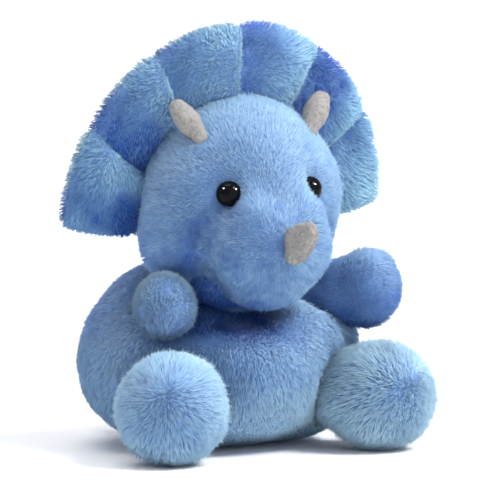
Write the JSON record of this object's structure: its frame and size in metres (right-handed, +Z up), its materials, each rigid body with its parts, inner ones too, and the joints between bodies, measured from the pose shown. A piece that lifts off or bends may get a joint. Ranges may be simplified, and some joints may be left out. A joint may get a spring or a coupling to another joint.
{
  "type": "stuffed toy dinosaur",
  "caption": "Sitting stuffed dinosaur of short-pile plush with a pleated fan frill, felt horns on brow and nose, glossy eyes, floppy limbs and a bean-weighted seat.",
  "frame": {"origin": "middle of the footprint's bounding box on the surface the toy sits on", "axes": "+Z up, the face looks along -Y, +X is the toy's own left side"},
  "size_m": [0.1039, 0.1078, 0.1262],
  "materials": {
    "plush": "soft short-pile plush, matte with a pale sheen at the edges",
    "frill_plush": "longer-pile plush, brushed, deeper blue",
    "horn_suede": "grey-beige suede cloth, fine nap",
    "eye": "polished black",
    "washer": "matte moulded",
    "fibre": "loose polyester fibre",
    "bag_cloth": "thin woven cloth",
    "pellets": "small plastic pellets",
    "satin": "blank woven satin"
  },
  "bodies": {
    "torso": {"body_cover": "plush", "body_stuffing": "fibre", "pellet_bag": "bag_cloth", "pellet_fill": "pellets", "care_label": "satin"},
    "neck": {"neck_stuffing": "fibre"},
    "head": {"head_cover": "plush", "head_stuffing": "fibre", "eye_left": "eye", "eye_right": "eye", "eye_washer_left": "washer", "eye_washer_right": "washer", "brow_horn_left": "horn_suede", "brow_horn_left_filling": "fibre", "brow_horn_right": "horn_suede", "brow_horn_right_filling": "fibre", "nose_horn": "horn_suede", "nose_horn_filling": "fibre"},
    "frill": {"frill_front": "frill_plush", "frill_back": "frill_plush", "frill_wadding": "fibre"},
    "arm_left": {"arm_left_cover": "plush", "arm_left_stuffing": "fibre"},
    "arm_right": {"arm_right_cover": "plush", "arm_right_stuffing": "fibre"},
    "leg_left": {"leg_left_cover": "plush", "leg_left_stuffing": "fibre"},
    "leg_right": {"leg_right_cover": "plush", "leg_right_stuffing": "fibre"},
    "tail": {"tail_cover": "plush", "tail_stuffing": "fibre"}
  },
  "joints": [
    {"name": "neck_turn", "type": "hinge", "parent": "torso", "child": "neck", "pos_m": [0, -0.0078, 0.06], "axis": [0, 0, 1], "range_deg": [-10, 10], "stiffness_Nm_per_rad": 0.05},
    {"name": "head_nod", "type": "hinge", "parent": "neck", "child": "head", "pos_m": [0, -0.0078, 0.06], "axis": [1, 0, 0], "range_deg": [-7, 7], "stiffness_Nm_per_rad": 0.3},
    {"name": "frill_tilt", "type": "hinge", "parent": "head", "child": "frill", "pos_m": [0, -0.0118, 0.078], "axis": [-1, 0, 0], "range_deg": [0, 12], "stiffness_Nm_per_rad": 0.05},
    {"name": "arm_left_swing", "type": "hinge", "parent": "torso", "child": "arm_left", "pos_m": [0.0245, -0.0078, 0.0446], "axis": [0, 0, 1], "range_deg": [-5, 20], "stiffness_Nm_per_rad": 0.01},
    {"name": "arm_right_swing", "type": "hinge", "parent": "torso", "child": "arm_right", "pos_m": [-0.0245, -0.0078, 0.045], "axis": [0, 0, -1], "range_deg": [-5, 20], "stiffness_Nm_per_rad": 0.01},
    {"name": "leg_left_spread", "type": "hinge", "parent": "torso", "child": "leg_left", "pos_m": [0.0275, -0.0228, 0.0166], "axis": [0, 0, 1], "range_deg": [-8, 8], "stiffness_Nm_per_rad": 0.05},
    {"name": "leg_right_spread", "type": "hinge", "parent": "torso", "child": "leg_right", "pos_m": [-0.0275, -0.0228, 0.0166], "axis": [0, 0, -1], "range_deg": [-8, 8], "stiffness_Nm_per_rad": 0.05},
    {"name": "tail_wag", "type": "hinge", "parent": "torso", "child": "tail", "pos_m": [0, 0.0357, 0.013], "axis": [0, 0, 1], "range_deg": [-12, 12], "stiffness_Nm_per_rad": 0.01}
  ]
}
